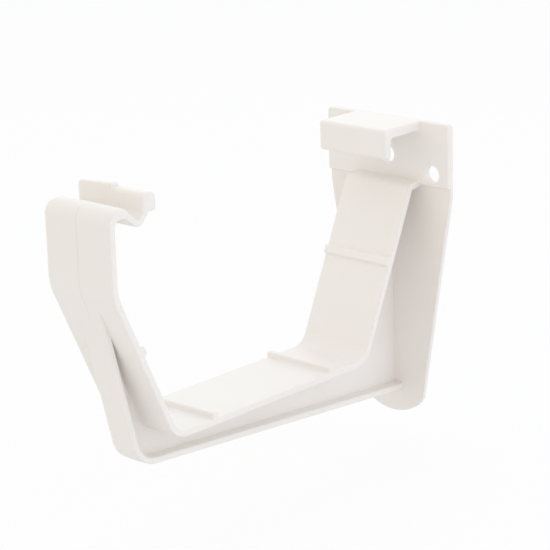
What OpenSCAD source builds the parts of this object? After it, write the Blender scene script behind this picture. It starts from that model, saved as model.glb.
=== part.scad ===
// Fascia bracket for a square-section rain gutter, moulded in one piece.
// Frame: X runs along the gutter, +Y is into the wall, Z is up. The origin is on the
// wall face of the plate, on the axis of the middle screw hole.
// Side profiles are drawn in the Y-Z plane and pushed out along X, half to each side.

/* [Gutter] */
// Clear width between the plate and the upright front arm
mouth_w = 116; // [100:1:130]
// Depth of the liner's floor under the top edge of the plate
floor_drop = 62.5; // [56:0.5:70]
// Lean of the liner's two sloping walls from upright, in degrees
wall_lean = 24.6; // [20:0.2:27]

/* [Liner] */
// Width of the liner strap along the gutter
liner_w = 23; // [18:0.5:30]
// Thickness of the liner strap
liner_t = 2; // [1.8:0.1:2.4]
// Inside radius where the sloping walls meet the floor
corner_r = 5.5; // [4:0.5:8]
// Depth under the plate's top edge at which the front arm starts to lean
arm_drop = 22.2; // [18:0.5:26]
// Inside radius of that bend in the front arm
arm_bend_r = 12; // [4:1:20]
// Depth under the plate's top edge at which the liner's shelf meets the plate
shelf_drop = 16.8; // [15:0.2:18]
// How far the shelf runs out from the plate to its bend, before rounding
shelf_run = 4.2; // [3.8:0.2:6]
// Rise of the shelf towards the plate, in degrees
shelf_rise = 6; // [2:1:20]
// Gutter-side radius of the bend between shelf and rear wall
shelf_bend_r = 2.6; // [2.2:0.1:4]

/* [Cross ribs] */
// Height of the small cross ribs over the liner
rib_h = 1.5; // [0.8:0.1:2]
// Width of the small cross ribs
rib_w = 2; // [1.4:0.1:3]
// Distance of the two floor ribs from the middle of the floor
floor_rib_at = 22.8; // [15:0.2:26]
// Width of the two wall ribs
wall_rib_w = 2.4; // [1.4:0.1:3]
// Height of the front wall's rib over the floor
front_rib_up = 24.2; // [15:0.2:30]
// Height of the rear wall's rib over the floor
rear_rib_up = 25.2; // [15:0.2:30]
// How far the wall ribs stand proud of their walls
wall_rib_h = 1.1; // [0.6:0.1:1.6]

/* [Stiffening rib] */
// Thickness of the central web
web_t = 1.6; // [1.2:0.1:2.4]
// Width of the outer flange
flange_w = 8.2; // [6:0.2:12]
// Thickness of the outer flange
flange_t = 1.8; // [1.4:0.1:2.2]
// Lean of the flange's front run from upright, in degrees
flange_lean = 13.9; // [12:0.1:16]
// Fall of the flange's bottom run towards the wall, in degrees
flange_fall = 4.4; // [2:0.1:6]
// Depth under the plate's top edge at which the flange leaves the front arm
flange_drop = 27.3; // [24:0.2:32]
// Depth of the flange's sharp front corner under the plate's top edge
flange_corner_drop = 71.8; // [66:0.2:78]
// Outside radius of the flange's front corner
flange_r = 8.5; // [5:0.5:10]

/* [Front clip] */
// Depth of the clip's flat top under the plate's top edge
clip_drop = 0.8; // [0:0.1:2]
// Thickness of the flat top
clip_top_t = 2.8; // [2.2:0.1:3.4]
// Distance from the arm's inner face to where the top turns down
clip_top_run = 2.8; // [2:0.1:4]
// Fall of the clip from there to its trough, in degrees
clip_fall = 41; // [36:0.5:46]
// Thickness of the clip beyond its flat top
clip_t = 1.7; // [1.5:0.1:2]
// Radius on the clip's front top edge
clip_crest_r = 4; // [1:0.1:4.6]
// Radius where the top turns down, on its upper side
clip_bend_r = 1.5; // [1:0.1:2]
// Radius of the fillet between the arm and the clip
clip_fillet = 1.6; // [0.8:0.1:2]
// Distance from the arm's inner face to the bottom of the trough
trough_reach = 7.8; // [7:0.1:9]
// Slope of the trough's rear wall, in degrees
trough_rise = 48; // [42:0.5:54]
// Outside radius of the trough
trough_r = 2.4; // [2.1:0.1:2.9]
// Distance from the arm's inner face to the bead's front face
bead_reach = 9.5; // [9.1:0.1:11]
// Depth, front to back, of the bead that holds the gutter's front edge
bead_d = 4.4; // [3.5:0.1:6]
// Height of the bead
bead_h = 5; // [4:0.1:7]
// How far the bead's underside lies below the top of the trough's rear wall
bead_lap = 0.3; // [0.1:0.1:0.6]
// Radius on the bead's rear top edge
bead_r = 2; // [0.8:0.1:2.4]
// Radius on the bead's front top edge
bead_edge_r = 1.2; // [0.4:0.1:1.5]
// Radius on the bead's rear bottom edge
bead_low_r = 0.6; // [0.3:0.1:1]
// Radius on the bead's far upper corner, seen from the front
bead_end_r = 0.9; // [0.4:0.1:1.4]
// Height of the raised tab over the bead, at its end near the middle
tab_h = 1; // [0.4:0.1:2]
// Height of the raised tab over the bead, at the clip's far side
tab_far_h = 0.2; // [0.1:0.1:1]
// Thickness of the raised tab
tab_t = 2.4; // [1.5:0.1:2.6]
// Where the tab ends, measured from the middle towards +X
tab_end = 0.8; // [-3:0.2:4]
// Radius on the clip's far upper corner, seen from the front
clip_corner_far = 2.5; // [1:0.1:3]
// Radius on the clip's near upper corner, seen from the front
clip_corner_near = 0.9; // [0.4:0.1:2]

/* [Rear clip] */
// Width of the rear clip
hook_w = 23.6; // [18:0.2:30]
// Reach of the rear clip from the plate to its front face
hook_reach = 15; // [12:0.25:18]
// Thickness of the rear clip's top
hook_t = 2.8; // [2:0.1:3.5]
// Thickness of the rear clip's hanging lip
hook_lip_t = 2.8; // [2:0.1:3.5]
// Height of the lip, measured from the plate's top edge
hook_lip_h = 8.4; // [6:0.1:11]
// Radius on the lip's bottom edges
hook_lip_r = 1.2; // [0.4:0.1:1.3]
// Radius on the clip's upper front edge
hook_edge_r = 0.5; // [0.2:0.1:1]
// Radius of the fillet inside the clip
hook_fillet = 0.9; // [0.4:0.1:1.5]

/* [Plate] */
// Width of the plate's upper part
plate_w = 43.2; // [38:0.2:52]
// Thickness of the plate's upper part
plate_t = 2.4; // [2:0.1:3.5]
// Thickness of the plate's tapered lower part
plate_low_t = 1.4; // [1.2:0.1:2]
// Depth of the thick upper part
plate_step = 18; // [16:0.1:20]
// Depth at which the plate's sides start to close in
plate_taper_at = 21; // [19:0.25:26]
// Closing of each side, in mm for every mm down
plate_taper = 0.17; // [0.14:0.005:0.2]
// Overall height of the plate
plate_h = 87; // [84:0.5:100]
// Radius of the plate's bottom end
plate_end_r = 15; // [14:0.25:20]
// Radius blending the bottom end into the sides
plate_end_blend = 5.5; // [2:0.25:6.5]
// Radius of the plate's upper corners
plate_corner_r = 1.2; // [0.5:0.1:3]

/* [Screw holes] */
// Diameter of the screw holes
hole_d = 5.1; // [4:0.1:6]
// Depth of the middle hole under the plate's top edge
hole_drop = 10.8; // [9.5:0.1:12]
// Distance of the side hole from the middle
side_hole_x = 15.8; // [12:0.1:18]
// Depth of the side hole under the plate's top edge
side_hole_drop = 14.6; // [13:0.1:15.2]

/* [Hidden] */
$fn = 64;
arc_step = 6;                               // degrees to a facet of a rounded profile

top = hole_drop;                            // Z of the plate's top edge
face = -plate_t;                            // Y of the plate's front face
arm_in = face - mouth_w;                    // Y of the arm's inner face
floor_z = top - floor_drop;
floor_front = arm_in + (floor_drop - arm_drop) * tan(wall_lean);
shelf_y = face - shelf_run;
shelf_z = top - shelf_drop - shelf_run * tan(shelf_rise);
floor_rear = shelf_y - (shelf_z - floor_z) * tan(wall_lean);
floor_mid = (floor_front + floor_rear) / 2;
clip_top = top - clip_drop;                 // Z of the front clip's flat top

// unit vector at an angle, and the one a quarter turn to its left
function dir(a) = [cos(a), sin(a)];
function left(a) = dir(a + 90);
// point where two lines meet: through p at angle a, through q at angle b
function meet(p, a, q, b) =
    let (d = q - p, s = sin(b - a))
    p + dir(a) * ((d[0] * sin(b) - d[1] * cos(b)) / s);
// corner v moved to the left of the path by t, between runs at angles a and b
function inset(v, a, b, t) = v + (left(a) + left(b)) * t / (1 + left(a) * left(b));
// points of an arc round c, ends included
function arc(c, r, a0, a1) =
    let (n = max(1, ceil(abs(a1 - a0) / arc_step)))
    [for (i = [0:n]) c + r * dir(a0 + (a1 - a0) * i / n)];
// angle between -180 and 180
function wrapped(a) = a - 360 * round(a / 360);
// corner v of an outline between points a and b, rounded to radius r
function rounded(a, v, b, r) =
    let (p = (a - v) / norm(a - v), q = (b - v) / norm(b - v), half = acos(p * q) / 2,
         m = (p + q) / norm(p + q), c = v + m * r / sin(half),
         s = v + p * r / tan(half) - c, e = v + q * r / tan(half) - c,
         a0 = atan2(s[1], s[0]))
    arc(c, r, a0, a0 + wrapped(atan2(e[1], e[0]) - a0));
// closed outline from its corners, each given as [point, radius]
function outline(c) =
    let (n = len(c))
    [for (i = [0:n - 1])
        each c[i][1] == 0 ? [c[i][0]]
            : rounded(c[(i + n - 1) % n][0], c[i][0], c[(i + 1) % n][0], c[i][1])];
// box outline from p to q, with radii for its corners in the order of an
// anticlockwise walk from p
function box_outline(p, q, r) =
    outline([[p, r[0]], [[q[0], p[1]], r[1]], [q, r[2]], [[p[0], q[1]], r[3]]]);

// pushes a Y-Z profile out along X, between x0 and x1
module along_x(x0, x1) {
    rotate([90, 0, 90]) translate([0, 0, x0]) linear_extrude(height = x1 - x0) children();
}

// pushes an X-Z outline out along Y, between y0 and y1
module along_y(y0, y1) {
    translate([0, y1, 0]) rotate([90, 0, 0]) linear_extrude(height = y1 - y0) children();
}

// ---- liner and front clip -------------------------------------------------------
front_wall = wall_lean - 90;                // headings of the liner's front and rear
rear_wall = 90 - wall_lean;                 // walls, and of the clip's two slopes
clip_run = -clip_fall;
trough_run = trough_rise;

arm_bend = [arm_in, top - arm_drop];
front_corner = [floor_front, floor_z];
rear_corner = [floor_rear, floor_z];
shelf_corner = [shelf_y, shelf_z];

// upper side of the clip, from its bend over the trough to the bead's front face
bend_top = [arm_in + clip_top_run, clip_top];
crest_r = min(clip_crest_r,                 // the crest ends where the bend starts
    liner_t + clip_top_run - clip_bend_r * tan(clip_fall / 2));
trough_in = meet(bend_top, clip_run, [arm_in + trough_reach, 0], 90);
bead_y = arm_in + bead_reach;
wall_top = meet(trough_in, trough_run, [bead_y, 0], 90);
bead_z = wall_top[1] - bead_lap;            // the bead's bottom and its top
bead_top = bead_z + bead_h;
// and the underside, clip_t away, back from the bead to the arm
clip_root = [arm_in, clip_top - clip_top_t];
run_low = bend_top - left(clip_run) * clip_t;
wall_low = wall_top - left(trough_run) * clip_t;
trough_out = meet(run_low, clip_run, wall_low, trough_run);

module liner() {
    skin = -liner_t;
    along_x(-liner_w / 2, liner_w / 2) polygon(outline([
        // gutter side
        [[bead_y, bead_top], bead_edge_r],
        [[bead_y + bead_d, bead_top], bead_r],
        [[bead_y + bead_d, bead_z], bead_low_r],
        [meet(wall_low, trough_run, [0, bead_z], 0), 0],
        [trough_out, trough_r],
        [meet(run_low, clip_run, clip_root, 0), clip_bend_r + clip_t],
        [clip_root, clip_fillet],
        [arm_bend, arm_bend_r],
        [front_corner, corner_r],
        [rear_corner, corner_r],
        [shelf_corner, shelf_bend_r],
        [[-plate_low_t / 2, shelf_z + (-plate_low_t / 2 - shelf_y) * tan(shelf_rise)], 0],
        // and back along the other side
        [[-plate_low_t / 2, shelf_z + (-plate_low_t / 2 - shelf_y) * tan(shelf_rise)
            - liner_t / cos(shelf_rise)], 0],
        [inset(shelf_corner, rear_wall, shelf_rise, skin), shelf_bend_r - liner_t],
        [inset(rear_corner, 0, rear_wall, skin), corner_r + liner_t],
        [inset(front_corner, front_wall, 0, skin), corner_r + liner_t],
        [inset(arm_bend, -90, front_wall, skin), arm_bend_r + liner_t],
        [[arm_in - liner_t, clip_top], crest_r],
        [bend_top, clip_bend_r],
        [trough_in, trough_r - clip_t],
        [wall_top, clip_bend_r - bead_low_r]
    ]));
}

// raised tab over the bead's far half, whose top falls away to the far side
module tab() {
    along_y(bead_y, bead_y + tab_t)
        polygon(outline([
            [[-liner_w / 2, bead_top - bead_r], 0],
            [[tab_end, bead_top - bead_r], 0],
            [[tab_end, bead_top + tab_h], tab_h / 2],
            [[-liner_w / 2, bead_top + tab_far_h], 0]]));
}

// what rounds off an upper corner of a bar that runs across, seen from the front; z is the
// bar's top
module corner_cut(side, r, z, y0, y1) {
    x = liner_w / 2;
    along_y(y0, y1)
        scale([side, 1]) polygon(concat(
            arc([x - r, z - r], r, 0, 90),
            [[x - r, z + liner_t], [x + liner_t, z + liner_t], [x + liner_t, z - r]]));
}

module clip_corner_cut(side, r) {
    corner_cut(side, r, clip_top, arm_in - 2 * liner_t, bend_top[0] + r / tan(clip_fall) + clip_t / 4);
}

// a small rib across the liner: v on the surface, heading along it
module cross_rib(v, heading, w, h) {
    along_x(-liner_w / 2, liner_w / 2)
        translate(v) rotate(heading)
            polygon(box_outline([-w / 2, -liner_t / 2], [w / 2, h], [0, 0, w / 4, w / 4]));
}

module cross_ribs() {
    cross_rib([floor_mid - floor_rib_at, floor_z], 0, rib_w, rib_h);
    cross_rib([floor_mid + floor_rib_at, floor_z], 0, rib_w, rib_h);
    cross_rib([floor_front - front_rib_up * tan(wall_lean), floor_z + front_rib_up],
        front_wall, wall_rib_w, wall_rib_h);
    cross_rib([floor_rear + rear_rib_up * tan(wall_lean), floor_z + rear_rib_up],
        rear_wall, wall_rib_w, wall_rib_h);
}

// ---- stiffening rib: web and outer flange -----------------------------------------
front_run = flange_lean - 90;               // headings of the flange's two runs
bottom_run = -flange_fall;
flange_start = meet([0, top - flange_drop], 0,
    front_corner - left(front_wall) * liner_t, front_wall);
flange_corner = meet([0, top - flange_corner_drop], 0, flange_start, front_run);
flange_end = meet(flange_corner, bottom_run, [-plate_low_t / 2, 0], -90);
flange_root = flange_start - dir(front_run) * flange_t / 2;     // sunk into the arm

module flange() {
    along_x(-flange_w / 2, flange_w / 2) polygon(outline([
        [flange_root, 0],
        [flange_corner, flange_r],
        [flange_end, 0],
        [flange_end + left(bottom_run) * flange_t, 0],
        [inset(flange_corner, front_run, bottom_run, flange_t), flange_r - flange_t],
        [flange_root + left(front_run) * flange_t, 0]
    ]));
}

module web() {
    bite = liner_t / 4;                     // how far the web reaches into the liner
    sink = 0.8 * flange_t;                  // where it ends inside the flange
    along_x(-web_t / 2, web_t / 2) polygon(outline([
        [flange_start + left(front_run) * sink, 0],
        [inset(flange_corner, front_run, bottom_run, sink), flange_r - sink],
        [flange_end + left(bottom_run) * sink, 0],
        [[-plate_low_t / 2, shelf_z - liner_t / 2], 0],
        [inset(shelf_corner, rear_wall, shelf_rise, -2 * bite), 0],
        [inset(rear_corner, 0, rear_wall, -bite), 0],
        [inset(front_corner, front_wall, 0, -bite), 0]
    ]));
}

// ---- plate and rear clip -------------------------------------------------------------
// outline of the plate's tapered lower part, with its round end
function plate_low() =
    let (half = plate_w / 2,
         lean = atan(plate_taper),
         taper_z = top - plate_taper_at,
         // radius that touches both sides and the bottom; a wide plate's end takes it
         full_r = (half - plate_taper * (plate_h - plate_taper_at))
             / (1 / cos(lean) - plate_taper),
         r = max(plate_end_r, full_r),
         c = [0, top - plate_h + r],                    // centre of the round end
         // centre of the blend: its circle touches the side and the round end from inside
         gap = r - plate_end_blend,
         k = half - plate_taper * (taper_z - c[1]) - plate_end_blend / cos(lean),
         m = 1 + plate_taper * plate_taper,
         u = (-plate_taper * k - sqrt(max(0, m * gap * gap - k * k))) / m,
         b = [k + plate_taper * u, c[1] + u],
         out = atan2(u, b[0]))
    concat(
        [[half, taper_z]],
        arc(b, plate_end_blend, -lean, out),
        arc(c, r, out, -180 - out),
        arc([-b[0], b[1]], plate_end_blend, -180 - out, -180 + lean),
        [[-half, taper_z], [-half, top - plate_step + plate_low_t],
            [half, top - plate_step + plate_low_t]]);

module plate() {
    half = plate_w / 2;
    difference() {
        union() {
            along_y(face, 0)
                polygon(box_outline([-half, top - plate_step], [half, top],
                    [0, 0, plate_corner_r, plate_corner_r]));
            along_y(-plate_low_t, 0) polygon(plate_low());
        }
        screw_hole([0, 0]);
        screw_hole([side_hole_x, top - side_hole_drop]);
    }
}

module screw_hole(at) {
    translate([at[0], plate_t, at[1]]) rotate([90, 0, 0])
        cylinder(d = hole_d, h = 3 * plate_t);
}

module rear_clip() {
    y0 = face - hook_reach;
    root = face + plate_t / 2;              // sunk into the plate
    lap = face + hook_fillet / 20;
    lip_r = min(hook_lip_r, hook_lip_t / 2);    // at most a full round
    along_x(-hook_w / 2, hook_w / 2) polygon(outline([
        [[root, top], 0],
        [[y0, top], hook_edge_r],
        [[y0, top - hook_lip_h], lip_r],
        [[y0 + hook_lip_t, top - hook_lip_h], lip_r],
        [[y0 + hook_lip_t, top - hook_t], hook_fillet],
        [[lap, top - hook_t], hook_fillet],
        [[lap, top - hook_t - 2 * hook_fillet], 0],
        [[root, top - hook_t - 2 * hook_fillet], 0]
    ]));
}

module bracket() {
    color("#F1EFEC") {
        difference() {
            union() {
                liner();
                tab();
            }
            clip_corner_cut(1, clip_corner_near);
            clip_corner_cut(-1, clip_corner_far);
            corner_cut(-1, bead_end_r, bead_top + tab_far_h, bead_y - clip_t, bead_y + bead_d + clip_t);
        }
        cross_ribs();
        flange();
        web();
        plate();
        rear_clip();
    }
}

bracket();
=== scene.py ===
import math

import bmesh
import bpy
import numpy as np
from mathutils import Matrix, Vector


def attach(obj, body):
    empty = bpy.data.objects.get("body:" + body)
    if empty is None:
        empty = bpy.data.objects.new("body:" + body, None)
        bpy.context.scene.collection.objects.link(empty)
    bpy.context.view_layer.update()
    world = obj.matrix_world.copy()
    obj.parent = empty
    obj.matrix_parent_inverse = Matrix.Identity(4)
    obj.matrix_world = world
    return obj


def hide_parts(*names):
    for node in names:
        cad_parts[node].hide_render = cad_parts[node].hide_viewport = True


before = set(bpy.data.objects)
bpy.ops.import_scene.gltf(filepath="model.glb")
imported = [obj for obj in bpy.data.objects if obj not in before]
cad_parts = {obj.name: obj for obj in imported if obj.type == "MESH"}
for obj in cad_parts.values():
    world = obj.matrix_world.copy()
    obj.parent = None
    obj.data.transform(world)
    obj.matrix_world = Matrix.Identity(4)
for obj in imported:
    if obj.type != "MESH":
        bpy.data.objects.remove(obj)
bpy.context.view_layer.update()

# ---- Sizes and shape helpers ----------------------------------------------------------
# The bracket's measurements in millimetres, the same as the CAD part's, and the functions
# that turn profiles into rounded solids. Used by every section below.
MM = 0.001
TOP = 10.8                    # height of the plate's upper edge, from which all drops are taken
FACE = -2.4                   # front face of the plate
LOW_FACE = -1.4               # front face of its tapered lower part
BURIED = -0.7                 # depth inside the plate at which the forms that join it end
PLATE_H = 87.0
ARM_IN = FACE - 116.0         # inner face of the front arm
ARM_DROP, FLOOR_DROP = 22.2, 62.5                   # to the front arm's bend and the liner's floor
FLOOR = TOP - FLOOR_DROP
LEAN = 24.6                   # lean of the liner's walls, degrees
LINER_W, LINER_T = 23.0, 2.0
RIM = 0.42                    # rounding of most rims
SHELF_DROP, SHELF_RUN, SHELF_TILT = 16.8, 4.2, 6    # shelf behind the rear wall, tilt in degrees
FLOOR_FRONT = ARM_IN + (FLOOR_DROP - ARM_DROP) * math.tan(math.radians(LEAN))
SHELF = np.array([FACE - SHELF_RUN,
                  TOP - SHELF_DROP - SHELF_RUN * math.tan(math.radians(SHELF_TILT))])
FLOOR_REAR = SHELF[0] - (SHELF[1] - FLOOR) * math.tan(math.radians(LEAN))


def turned(a):
    """Unit vector at an angle in degrees."""
    return np.array([math.cos(math.radians(a)), math.sin(math.radians(a))])


def meet(p, a, q, b):
    """Point where the line through p at angle a crosses the line through q at angle b."""
    u, v, d = turned(a), turned(b), np.subtract(q, p)
    return np.array(p) + u * (d[0] * v[1] - d[1] * v[0]) / (u[0] * v[1] - u[1] * v[0])


def inset(v, a, b, t):
    """Corner v moved t to the left of both runs, at angles a and b, that meet in it."""
    m, n = turned(a + 90), turned(b + 90)
    return np.array(v) + (m + n) * t / (1 + m @ n)


def arc(c, r, a0, a1, step=4.0):
    """Points of an arc round c, from angle a0 to a1, ends included."""
    n = max(2, math.ceil(abs(a1 - a0) / step))
    a = np.radians(np.linspace(a0, a1, n + 1))
    return np.array(c) + r * np.stack([np.cos(a), np.sin(a)], 1)


def outline(corners, step=4.0):
    """Closed outline from [point, radius] corners: each is rounded by the circle of its radius
    that touches both runs, so the arc starts radius / tan(half the corner's angle) from it."""
    n, out = len(corners), []
    for i, (v, r) in enumerate(corners):
        v = np.array(v, float)
        if r == 0:
            out.append(v[None])
            continue
        p = np.subtract(corners[i - 1][0], v)
        q = np.subtract(corners[(i + 1) % n][0], v)
        p, q = p / np.linalg.norm(p), q / np.linalg.norm(q)
        half = math.acos(np.clip(p @ q, -1, 1)) / 2
        c = v + (p + q) / np.linalg.norm(p + q) * r / math.sin(half)
        s, e = v + p * r / math.tan(half) - c, v + q * r / math.tan(half) - c
        a0 = math.degrees(math.atan2(s[1], s[0]))
        turn = (math.degrees(math.atan2(e[1], e[0])) - a0 + 180) % 360 - 180
        out.append(arc(c, r, a0, a0 + turn, step))
    return np.concatenate(out)


def ccw(p):
    """The outline p in anticlockwise order, without repeated points."""
    p = p[np.linalg.norm(p - np.roll(p, 1, 0), axis=1) > 1e-4]
    area = (p[:, 0] * np.roll(p[:, 1], -1) - np.roll(p[:, 0], -1) * p[:, 1]).sum() / 2
    return p if area > 0 else p[::-1]


def shrunk(p, d):
    """Outline p moved inwards by d: each point goes along the sum of its edges' inward
    normals m and n, by d (m + n) / (1 + m.n)."""
    e = np.roll(p, -1, 0) - p
    e /= np.linalg.norm(e, axis=1)[:, None]
    n = np.stack([-e[:, 1], e[:, 0]], 1)
    m = np.roll(n, 1, 0)
    return p + d * (m + n) / (1 + (m * n).sum(1))[:, None]


def mesh_object(name, co, faces):
    """Mesh object from points in millimetres and faces given as index lists."""
    me = bpy.data.meshes.new(name)
    me.from_pydata((np.asarray(co) * MM).tolist(), [], faces)
    me.validate()
    ob = bpy.data.objects.new(name, me)
    bpy.context.scene.collection.objects.link(ob)
    return ob


def rings(name, loops):
    """Closed solid through a stack of loops, each an (n, 3) array, with flat ends. The quad
    between points k and k + 1 of two neighbouring loops has indices r n + k."""
    n, m = len(loops[0]), len(loops)
    k = np.arange(n)
    r = np.arange(m - 1)[:, None] * n
    quads = np.stack([r + k, r + (k + 1) % n, r + n + (k + 1) % n, r + n + k], -1)
    faces = quads.reshape(-1, 4).tolist()
    faces += [k[::-1].tolist(), (k + (m - 1) * n).tolist()]
    return mesh_object(name, np.concatenate(loops), faces)


def slab(name, profile, lo, hi, axis, soft=0.4, draft=0.0, n=4):
    """Profile pushed from lo to hi along X (profile in Y-Z) or Y (profile in X-Z). Its rims
    are rounded to radius soft: at depth soft (1 - cos t) the outline is in by
    soft (1 - sin t). With draft it also closes in by that much from the middle to each end."""
    p = ccw(np.asarray(profile, float))
    stops = [(0.0, 0.0)]
    if soft > 0:
        t = np.linspace(0, math.pi / 2, n + 1)
        stops = list(zip(soft * (1 - np.cos(t)), soft * (1 - np.sin(t))))
    half, mid = (hi - lo) / 2, (hi + lo) / 2
    levels = [(lo + d, i + draft) for d, i in stops]
    if draft > 0:
        levels.append((mid, 0.0))
    levels += [(hi - d, i + draft) for d, i in reversed(stops)]
    loops = []
    for h, d in levels:
        q = shrunk(p, d) if d > 0 else p
        w = np.full(len(q), h)
        if axis == "x":
            loops.append(np.stack([w, q[:, 0], q[:, 1]], 1))
        else:
            loops.append(np.stack([q[:, 0], w, q[:, 1]], 1))
    if axis == "y":
        loops = loops[::-1]
    return rings(name, loops)


def box_profile(p, q, r, step=10.0):
    """Rectangle from p to q, with radii in the order of an anticlockwise walk from p."""
    return outline([[p, r[0]], [(q[0], p[1]), r[1]], [q, r[2]], [(p[0], q[1]), r[3]]], step)


# ---- Liner, front clip and cross ribs ---------------------------------------------------
# The strap that the gutter lies in, with the clip over its front edge: white PVC-U, moulded
# in one. One side profile pushed out sideways, thinning a little to both sides as moulded
# walls do, with its long edges rounded; four small ribs run across it.
CLIP, RISE = -41, 48                                # headings of the clip's fall and rise, degrees
FRONT, REAR = LEAN - 90, 90 - LEAN                  # headings of the front and rear walls
CLIP_T, ROOT_T = 1.7, 2.8                           # thickness of the clip, and where it starts
TOP_RUN, TROUGH_REACH, BEAD_REACH = 2.8, 7.8, 9.5   # back from the arm's inner face
BEAD_D, BEAD_H, BEAD_LAP = 4.4, 5.0, 2              # lap: how far forms reach into the bead
ARM_BEND = np.array([ARM_IN, TOP - ARM_DROP])
CORNER_F, CORNER_R = np.array([FLOOR_FRONT, FLOOR]), np.array([FLOOR_REAR, FLOOR])
CREST = TOP - 0.8
BEND_TOP = np.array([ARM_IN + TOP_RUN, CREST])
TROUGH_IN = meet(BEND_TOP, CLIP, [ARM_IN + TROUGH_REACH, 0], 90)
WALL_TOP = meet(TROUGH_IN, RISE, [ARM_IN + BEAD_REACH, 0], 90)
RUN_LOW = BEND_TOP - turned(CLIP + 90) * CLIP_T
WALL_LOW = WALL_TOP - turned(RISE + 90) * CLIP_T
ROOT = np.array([ARM_IN, CREST - ROOT_T])
BEAD = np.array([ARM_IN + BEAD_REACH, WALL_TOP[1] - 0.3])
BEAD_TOP = BEAD[1] + BEAD_H
CLIP_END = BEAD[1] + 0.6      # height at which the clip's underside ends inside the bead
SHELF_END = SHELF + np.array([1, math.tan(math.radians(SHELF_TILT))]) * (BURIED - SHELF[0])

liner_profile = outline([
    [(BEAD[0], BEAD_TOP - BEAD_LAP), 0], [(BEAD[0] + BEAD_LAP, BEAD_TOP - BEAD_LAP), 0],
    [(BEAD[0] + BEAD_LAP, CLIP_END), 0], [meet(WALL_LOW, RISE, [0, CLIP_END], 0), 0],
    [meet(RUN_LOW, CLIP, WALL_LOW, RISE), 2.4],
    [meet(RUN_LOW, CLIP, ROOT, 0), 3.2], [ROOT, 1.6], [ARM_BEND, 12.0],
    [CORNER_F, 5.5], [CORNER_R, 5.5], [SHELF, 2.6], [SHELF_END, 0],
    [SHELF_END - [0, LINER_T / math.cos(math.radians(SHELF_TILT))], 0],
    [inset(SHELF, REAR, SHELF_TILT, -LINER_T), 0.6], [inset(CORNER_R, 0, REAR, -LINER_T), 7.5],
    [inset(CORNER_F, FRONT, 0, -LINER_T), 7.5], [inset(ARM_BEND, -90, FRONT, -LINER_T), 14.0],
    [(ARM_IN - LINER_T, CREST), 4.0], [BEND_TOP, 1.5], [TROUGH_IN, 0.7], [WALL_TOP, 0.9]])
liner = slab("liner", liner_profile, -LINER_W / 2, LINER_W / 2, "x", RIM, 0.05)

solids, cuts = [], []


def corner_cutter(side, r, z, y0, y1):
    """What is cut off a bar's upper corner: all outside a quarter circle of radius r."""
    x = LINER_W / 2
    q = np.concatenate([arc([x - r, z - r], r, 0, 90),
                        [[x - r, z + 2], [x + 2, z + 2], [x + 2, z - r]]])
    cuts.append(slab("corner", q * [side, 1], y0, y1, "y", 0))


for side, r in ((1, 0.9), (-1, 2.5)):
    corner_cutter(side, r, CREST, ARM_IN - 4, BEND_TOP[0] + r / math.tan(math.radians(-CLIP)) + 0.4)


def tilted(profile, at, angle):
    """Profile turned by an angle in degrees and moved so that its origin is at a point."""
    c, s = turned(angle)
    return profile @ np.array([[c, s], [-s, c]]) + at


def cross_rib(at, heading, w, h, foot):
    """Rib across the liner, with a small concave foot of radius foot along both sides."""
    top_r, sunk = w / 4, -0.8
    q = np.concatenate([
        arc([w / 2 + foot, foot], foot, 270, 180, 15),
        arc([w / 2 - top_r, h - top_r], top_r, 0, 90, 15),
        arc([-w / 2 + top_r, h - top_r], top_r, 90, 180, 15),
        arc([-w / 2 - foot, foot], foot, 0, -90, 15),
        [[-w / 2 - foot, sunk], [w / 2 + foot, sunk]]])
    solids.append(slab("rib", tilted(q, at, heading),
                       -LINER_W / 2 + 0.05, LINER_W / 2 - 0.05, "x", 0.3))


MID = (FLOOR_FRONT + FLOOR_REAR) / 2
SLOPE = math.tan(math.radians(LEAN))
RIB_APART, RIB_UP_F, RIB_UP_R = 22.8, 24.2, 25.2    # from the middle, and up each wall
cross_rib([MID - RIB_APART, FLOOR], 0, 2.0, 1.5, 0.35)
cross_rib([MID + RIB_APART, FLOOR], 0, 2.0, 1.5, 0.35)
cross_rib([FLOOR_FRONT - RIB_UP_F * SLOPE, FLOOR + RIB_UP_F], FRONT, 2.4, 1.1, 0.35)
cross_rib([FLOOR_REAR + RIB_UP_R * SLOPE, FLOOR + RIB_UP_R], REAR, 2.4, 1.1, 0.35)

# ---- Bead and tab ------------------------------------------------------------------------
# Bar that the gutter's front edge snaps under, on the far end of the front clip, of the same
# moulding, and the raised tab over its far half. A rounded side profile pushed out sideways and
# a thin upright wedge whose top falls away to the far side.
bead_profile = outline([
    [BEAD, 0], [BEAD + [BEAD_D, 0], 0.65], [BEAD + [BEAD_D, BEAD_H], 2.0],
    [BEAD + [0, BEAD_H], 1.2]])
solids.append(slab("bead", bead_profile, -LINER_W / 2, LINER_W / 2, "x", 0.6))
TAB_FAR, TAB_NEAR = -LINER_W / 2 + 0.02, 0.8
TAB_LOW, TAB_HIGH = BEAD_TOP + 0.2, BEAD_TOP + 1.0  # its top at the far and at the near end
tab_profile = outline([[(TAB_FAR, BEAD_TOP - BEAD_LAP), 0], [(TAB_NEAR, BEAD_TOP - BEAD_LAP), 0],
                       [(TAB_NEAR, TAB_HIGH), 0.6], [(TAB_FAR, TAB_LOW), 0.9]], 10)
solids.append(slab("tab", tab_profile, BEAD[0] + 0.01, BEAD[0] + 2.4, "y", 0.55))
corner_cutter(-1, 0.9, TAB_LOW, BEAD[0] - 1.7, BEAD[0] + 6.1)

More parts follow.
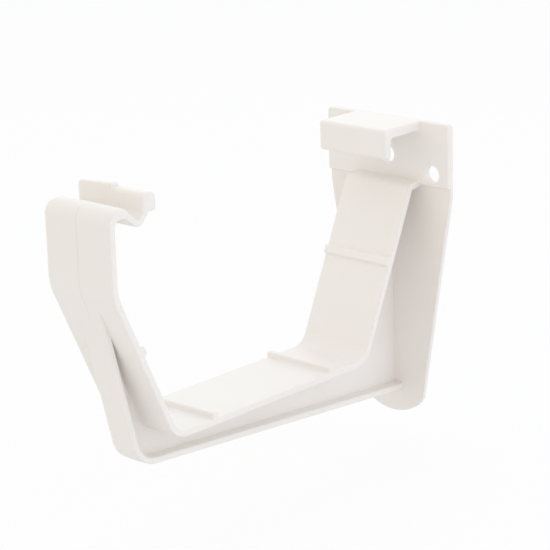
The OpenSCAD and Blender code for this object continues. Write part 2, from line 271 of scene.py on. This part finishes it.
# ---- Stiffening rib: web and outer flange --------------------------------------------------
# The I-shaped rib under the liner, of the same moulding: a thin web down the middle and a
# flange along its outer edge. Both are side profiles pushed out sideways.
F_RUN, B_RUN = 13.9 - 90, -4.4                      # headings of its front and bottom runs
F_T, F_BEND_R = 1.8, 8.5                            # thickness, and outer radius of its bend
F_DROP, F_CORNER_DROP = 27.3, 71.8
F_START = meet([0, TOP - F_DROP], 0, CORNER_F - turned(FRONT + 90) * LINER_T, FRONT)
F_CORNER = meet([0, TOP - F_CORNER_DROP], 0, F_START, F_RUN)
F_END = meet(F_CORNER, B_RUN, [BURIED, 0], -90)
F_ROOT = F_START - turned(F_RUN) * 0.9
flange_profile = outline([
    [F_ROOT, 0], [F_CORNER, F_BEND_R], [F_END, 0], [F_END + turned(B_RUN + 90) * F_T, 0],
    [inset(F_CORNER, F_RUN, B_RUN, F_T), F_BEND_R - F_T],
    [F_ROOT + turned(F_RUN + 90) * F_T, 0]])
solids.append(slab("flange", flange_profile, -4.1, 4.1, "x", RIM, 0.06))

SINK = 0.8 * F_T              # how far the web reaches into the flange
web_profile = outline([
    [F_START + turned(F_RUN + 90) * SINK, 0],
    [inset(F_CORNER, F_RUN, B_RUN, SINK), F_BEND_R - SINK],
    [F_END + turned(B_RUN + 90) * SINK, 0], [(BURIED, SHELF[1] - 1), 0],
    [inset(SHELF, REAR, SHELF_TILT, -1), 0], [inset(CORNER_R, 0, REAR, -0.5), 0],
    [inset(CORNER_F, FRONT, 0, -0.5), 0]])
solids.append(slab("web", web_profile, -0.8, 0.8, "x", 0))

# ---- Plate and rear clip --------------------------------------------------------------------
# The screw plate with its tapered lower part, and the hanging lip over the gutter's rear edge,
# of the same moulding. Front outlines pushed back to the wall face; the clip is a side profile.
half_w, taper, taper_z = 21.6, 0.17, TOP - 21
step_z, lap_z = TOP - 18, TOP - 17                  # the thickness's step, and the overlap's top
lean = math.degrees(math.atan(taper))
end_r, blend_r = 15.0, 5.5
end_c, gap = np.array([0, TOP - PLATE_H + end_r]), end_r - blend_r
# The round end runs into each tapered side through a smaller arc that touches both. Its centre is
# gap from the end's centre and, at height rise over it, across + taper * rise from the middle;
# rise is the lower root of m rise^2 + 2 taper across rise + across^2 - gap^2 = 0.
across = half_w - taper * (taper_z - end_c[1]) - blend_r / math.cos(math.radians(lean))
m = 1 + taper ** 2
root = math.sqrt((taper * across) ** 2 - m * (across * across - gap ** 2))
rise = (-taper * across - root) / m
blend_c = np.array([across + taper * rise, end_c[1] + rise])
out = math.degrees(math.atan2(rise, blend_c[0]))    # heading at which the two arcs meet
low_profile = np.concatenate([
    [[half_w, taper_z]], arc(blend_c, blend_r, -lean, out), arc(end_c, end_r, out, -180 - out),
    arc(blend_c * [-1, 1], blend_r, -180 - out, -180 + lean),
    [[-half_w, taper_z], [-half_w, lap_z], [half_w, lap_z]]])
upper = slab("plate", box_profile([-half_w, step_z], [half_w, TOP], [0, 0, 1.2, 1.2], 8),
             FACE, 0, "y", RIM)
solids += [upper, slab("plate_low", low_profile, LOW_FACE, 0, "y", RIM)]

lip_out, lip_in, lip_low = FACE - 15, FACE - 12.2, TOP - 8.4
under, root_in, root_face, root_low = TOP - 2.8, FACE + 1.2, FACE + 0.04, TOP - 4.6
hook_profile = outline([
    [(root_in, TOP), 0], [(lip_out, TOP), 0.9], [(lip_out, lip_low), 1.2],
    [(lip_in, lip_low), 1.2], [(lip_in, under), 0.9],
    [(root_face, under), 0.9], [(root_face, root_low), 0], [(root_in, root_low), 0]], 8)
solids.append(slab("hook", hook_profile, -11.8, 11.8, "x", 0.7))


def hole_cutter(x, z, r=2.55, flare=0.12):
    """Round cutter through the plate, widened by flare where it leaves each face."""
    y = np.array([FACE - 2, FACE - 0.001, FACE + 0.1, FACE + flare, -flare, -0.1, 0.001, 2])
    rr = r + np.array([flare, flare, flare * 0.3, 0, 0, flare * 0.3, flare, flare])
    a = np.radians(np.arange(0, 360, 7.5))
    loops = [np.stack([x + q * np.cos(a), np.full(len(a), h), z + q * np.sin(a)], 1)
             for h, q in zip(y, rr)]
    cuts.append(rings("hole", loops[::-1]))


hole_cutter(0, 0)
hole_cutter(15.8, -3.8)

# ---- Joining ---------------------------------------------------------------------------------
# All regions become the one moulded piece: the crest's cutters are taken off the liner, the
# solids are united, and the bead's cutter and the holes are taken off the whole. Faces are shaded
# smooth except across sharp edges.


def combine(ob, other, operation):
    """Takes other's solid into or out of ob's, with a boolean modifier worked out at once."""
    mod = ob.modifiers.new("combine", "BOOLEAN")
    mod.operation, mod.object, mod.solver = operation, other, "MANIFOLD"
    me = bpy.data.meshes.new_from_object(ob.evaluated_get(bpy.context.evaluated_depsgraph_get()))
    ob.modifiers.clear()
    ob.data = me
    bpy.data.objects.remove(other)


CREST_CUTS = 2                # the first two cutters round the crest and leave the bead alone
for c in cuts[:CREST_CUTS]:
    combine(liner, c, "DIFFERENCE")
bracket = liner
for s in solids:
    combine(bracket, s, "UNION")
for c in cuts[CREST_CUTS:]:
    combine(bracket, c, "DIFFERENCE")

bm = bmesh.new()
bm.from_mesh(bracket.data)
bmesh.ops.remove_doubles(bm, verts=bm.verts, dist=2e-6)
bmesh.ops.dissolve_degenerate(bm, dist=1e-6, edges=bm.edges)
bmesh.ops.dissolve_limit(bm, angle_limit=0.002, verts=bm.verts, edges=bm.edges)
bm.to_mesh(bracket.data)
open_edges = sum(not e.is_manifold for e in bm.edges)
bm.free()
print("open edges", open_edges, "faces", len(bracket.data.polygons))
bracket.name = "bracket_piece"
bracket.data.shade_smooth()
bracket.data.set_sharp_from_angle(angle=math.radians(32))
weighted = bracket.modifiers.new("flat faces", "WEIGHTED_NORMAL")
weighted.keep_sharp = True
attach(bracket, "root")
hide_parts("bracket")

# ---- Material ----------------------------------------------------------------------------------
# White PVC-U as it comes from a polished mould: satin, with a faint fine grain, shallow flow
# marks, a slightly uneven gloss and a thin line of painted shade along the front arm's parting
# line. All worked out from the object's own coordinates.
plastic = bpy.data.materials.new("white_pvc")
plastic.use_nodes = True
nt = plastic.node_tree
shader = nt.nodes["Principled BSDF"]


def add(kind, **values):
    """Adds a node and sets its properties, or inputs where the name is an input's."""
    node = nt.nodes.new(kind)
    for key, value in values.items():
        if hasattr(node, key):
            setattr(node, key, value)
        else:
            node.inputs[key].default_value = value
    return node


where = add("ShaderNodeTexCoord")
grain = add("ShaderNodeTexNoise", Scale=2600.0, Detail=3.0)
flow = add("ShaderNodeTexNoise", Scale=60.0, Detail=4.0)
stretch = add("ShaderNodeMapping", vector_type="POINT")
stretch.inputs["Scale"].default_value = (0.35, 1.0, 1.0)
tone = add("ShaderNodeValToRGB")
tone.color_ramp.elements[0].color = (0.893, 0.860, 0.822, 1)
tone.color_ramp.elements[1].color = (0.923, 0.890, 0.852, 1)
gloss = add("ShaderNodeMapRange")
gloss.inputs["To Min"].default_value = 0.40
gloss.inputs["To Max"].default_value = 0.50
dents = add("ShaderNodeBump", Strength=0.12, Distance=0.0004)
fine = add("ShaderNodeBump", Strength=0.10, Distance=0.00004)
for source, target in (
        (where.outputs["Object"], stretch.inputs["Vector"]),
        (stretch.outputs["Vector"], flow.inputs["Vector"]),
        (where.outputs["Object"], grain.inputs["Vector"]),
        (flow.outputs["Fac"], tone.inputs["Fac"]),
        (flow.outputs["Fac"], gloss.inputs["Value"]),
        (flow.outputs["Fac"], dents.inputs["Height"]),
        (grain.outputs["Fac"], fine.inputs["Height"]),
        (dents.outputs["Normal"], fine.inputs["Normal"]),
        (gloss.outputs["Result"], shader.inputs["Roughness"]),
        (fine.outputs["Normal"], shader.inputs["Normal"])):
    nt.links.new(source, target)
# faint parting line down the middle of the front arm's outer face, past its bend; the seam is
# drawn only as a thin band of painted shade
spot, facing = add("ShaderNodeSeparateXYZ"), add("ShaderNodeSeparateXYZ")
nt.links.new(where.outputs["Object"], spot.inputs["Vector"])
nt.links.new(where.outputs["Normal"], facing.inputs["Vector"])


def step(source, lo, hi, a, b):
    """Value that goes from a to b as the source goes from lo to hi, clamped at both."""
    node = add("ShaderNodeMapRange")
    for key, value in zip(("From Min", "From Max", "To Min", "To Max"), (lo, hi, a, b)):
        node.inputs[key].default_value = value
    nt.links.new(source, node.inputs["Value"])
    return node.outputs["Result"]


def times(p, q):
    """Product of two values."""
    node = add("ShaderNodeMath", operation="MULTIPLY")
    nt.links.new(p, node.inputs[0])
    nt.links.new(q, node.inputs[1])
    return node.outputs[0]


outer = times(step(facing.outputs["Y"], -0.6, -0.5, 1, 0),
              step(spot.outputs["Y"], (ARM_IN + 5) * MM, (ARM_IN + 6) * MM, 1, 0))
outer = times(outer, step(spot.outputs["Z"], (TOP - 34) * MM, (TOP - 24) * MM, 0, 1))
seam_shade_band = times(step(spot.outputs["X"], -0.55 * MM, -0.35 * MM, 0, 1),
             step(spot.outputs["X"], -0.15 * MM, 0.05 * MM, 1, 0))
# painted shade: the colour is multiplied by 0.94 along the seam band
painted_seam_shade = add("ShaderNodeMix", data_type="RGBA", blend_type="MULTIPLY")
FACTOR, COLOUR_A, COLOUR_B, COLOUR_OUT = 0, 6, 7, 2     # a Mix node's sockets when it mixes colours
nt.links.new(times(outer, seam_shade_band), painted_seam_shade.inputs[FACTOR])
nt.links.new(tone.outputs["Color"], painted_seam_shade.inputs[COLOUR_A])
painted_seam_shade.inputs[COLOUR_B].default_value = (0.94, 0.94, 0.94, 1)
nt.links.new(painted_seam_shade.outputs[COLOUR_OUT], shader.inputs["Base Color"])
shader.inputs["IOR"].default_value = 1.52
bracket.data.materials.clear()
bracket.data.materials.append(plastic)

# ---- Floor, backdrop and lamps ------------------------------------------------------------------
# A plain pale floor that reads as white to the camera and shows a tenth of its own shading, and
# soft studio light: a dome of broad soft lights, strongest from the right and the back left,
# weakest from the front right and just right of straight behind, with one large panel above.
floor_z, half_floor = TOP - PLATE_H - 6.0, 3000
floor = mesh_object("floor", [
    [-half_floor, -half_floor, floor_z], [half_floor, -half_floor, floor_z],
    [half_floor, half_floor, floor_z], [-half_floor, half_floor, floor_z]], [[0, 1, 2, 3]])
pale = bpy.data.materials.new("pale_floor")
pale.use_nodes = True
ft = pale.node_tree
base = ft.nodes["Principled BSDF"]
base.inputs["Base Color"].default_value = (0.90, 0.90, 0.90, 1)
base.inputs["Roughness"].default_value = 0.9
seen, white, mix = (ft.nodes.new("ShaderNodeLightPath"), ft.nodes.new("ShaderNodeEmission"),
                    ft.nodes.new("ShaderNodeMixShader"))
white.inputs["Color"].default_value = (1, 1, 1, 1)
WHITE_SHARE = 0.9             # what the camera sees as plain white; the rest is the own shading
share = ft.nodes.new("ShaderNodeMath")
share.operation = "MULTIPLY"
share.inputs[1].default_value = WHITE_SHARE
ft.links.new(seen.outputs["Is Camera Ray"], share.inputs[0])
ft.links.new(share.outputs["Value"], mix.inputs["Fac"])
ft.links.new(base.outputs["BSDF"], mix.inputs[1])
ft.links.new(white.outputs["Emission"], mix.inputs[2])
ft.links.new(mix.outputs["Shader"], ft.nodes["Material Output"].inputs["Surface"])
floor.data.materials.append(pale)

world = bpy.data.worlds.new("studio")
bpy.context.scene.world = world
world.use_nodes = True
wt = world.node_tree
sky = wt.nodes["Background"]
way = wt.nodes.new("ShaderNodeTexCoord")


def sky_node(operation, first, second, out):
    """World vector node on a link or a constant, giving the named output."""
    node = wt.nodes.new("ShaderNodeVectorMath")
    node.operation = operation
    for slot, value in enumerate((first, second)):
        if isinstance(value, bpy.types.NodeSocket):
            wt.links.new(value, node.inputs[slot])
        else:
            node.inputs[slot].default_value = value
    return node.outputs[out]


# soft lights all round: each adds its colour times max(0, d . a) squared, where a is the way
# to its middle, LIGHT_UP degrees over the horizon, and d the way looked at
LIGHT_UP = 12
glow = None
for azimuth, colour in ((-47.5, (0.45, 0.40, 0.42)), (12.5, (1.12, 1.17, 1.22)),
                        (72.5, (0.44, 0.45, 0.47)), (132.5, (1.10, 1.15, 1.15)),
                        (192.5, (0.68, 0.69, 0.78)), (252.5, (0.74, 0.71, 0.58))):
    flat, up = turned(azimuth), turned(LIGHT_UP)
    middle = (flat[0] * up[0], flat[1] * up[0], up[1])
    near = sky_node("DOT_PRODUCT", way.outputs["Generated"], middle, "Value")
    near = sky_node("MAXIMUM", near, (0, 0, 0), "Vector")
    lobe = sky_node("MULTIPLY", near, near, "Vector")
    lobe = sky_node("MULTIPLY", lobe, colour, "Vector")
    glow = lobe if glow is None else sky_node("ADD", glow, lobe, "Vector")
wt.links.new(glow, sky.inputs["Color"])
sky.inputs["Strength"].default_value = 1.0
behind, path, both = (wt.nodes.new("ShaderNodeBackground"), wt.nodes.new("ShaderNodeLightPath"),
                      wt.nodes.new("ShaderNodeMixShader"))
behind.inputs["Color"].default_value = (0.985, 0.985, 0.985, 1)
wt.links.new(path.outputs["Is Camera Ray"], both.inputs["Fac"])
wt.links.new(sky.outputs["Background"], both.inputs[1])
wt.links.new(behind.outputs["Background"], both.inputs[2])
wt.links.new(both.outputs["Shader"], wt.nodes["World Output"].inputs["Surface"])


def panel(name, at, aim, size, power):
    """Square area lamp at a point in millimetres, aimed at another."""
    data = bpy.data.lights.new(name, "AREA")
    data.shape, data.size, data.energy = "SQUARE", size * MM, power
    ob = bpy.data.objects.new(name, data)
    ob.location = Vector(at) * MM
    ob.rotation_euler = (Vector(aim) - Vector(at)).to_track_quat("-Z", "Y").to_euler()
    bpy.context.scene.collection.objects.link(ob)


panel("above", (-60, -80, 620), (0, -60, -20), 700, 1.0)

# ---- Camera -------------------------------------------------------------------------------------
# Square frame, seen from the front right and a little above.
EYE = (380.35, -465.16, 141.45)                     # millimetres
FRAME_W, FOCAL = 550, 2193.26                       # frame's width and focal length, one unit
SENSOR = 36
scene = bpy.context.scene
cam = bpy.data.objects.new("camera", bpy.data.cameras.new("camera"))
scene.collection.objects.link(cam)
yaw, pitch, roll = math.radians(42.49), math.radians(16.403), math.radians(-1.619)
look = Vector((-math.sin(yaw) * math.cos(pitch), math.cos(yaw) * math.cos(pitch),
               -math.sin(pitch)))
side = Vector((math.cos(yaw), math.sin(yaw), 0))
up = side.cross(look)
right = math.cos(roll) * side + math.sin(roll) * up
up = -math.sin(roll) * side + math.cos(roll) * up
cam.matrix_world = Matrix.Translation(Vector(EYE) * MM) @ Matrix(
    (right, up, -look)).transposed().to_4x4()
cam.data.sensor_width = SENSOR
cam.data.lens = SENSOR * FOCAL / FRAME_W
cam.data.shift_x, cam.data.shift_y = -0.5 / FRAME_W, 0.5 / FRAME_W
cam.data.clip_start, cam.data.clip_end = 0.01, 20
scene.camera = cam
scene.view_settings.view_transform = "Standard"
scene.view_settings.look = "None"
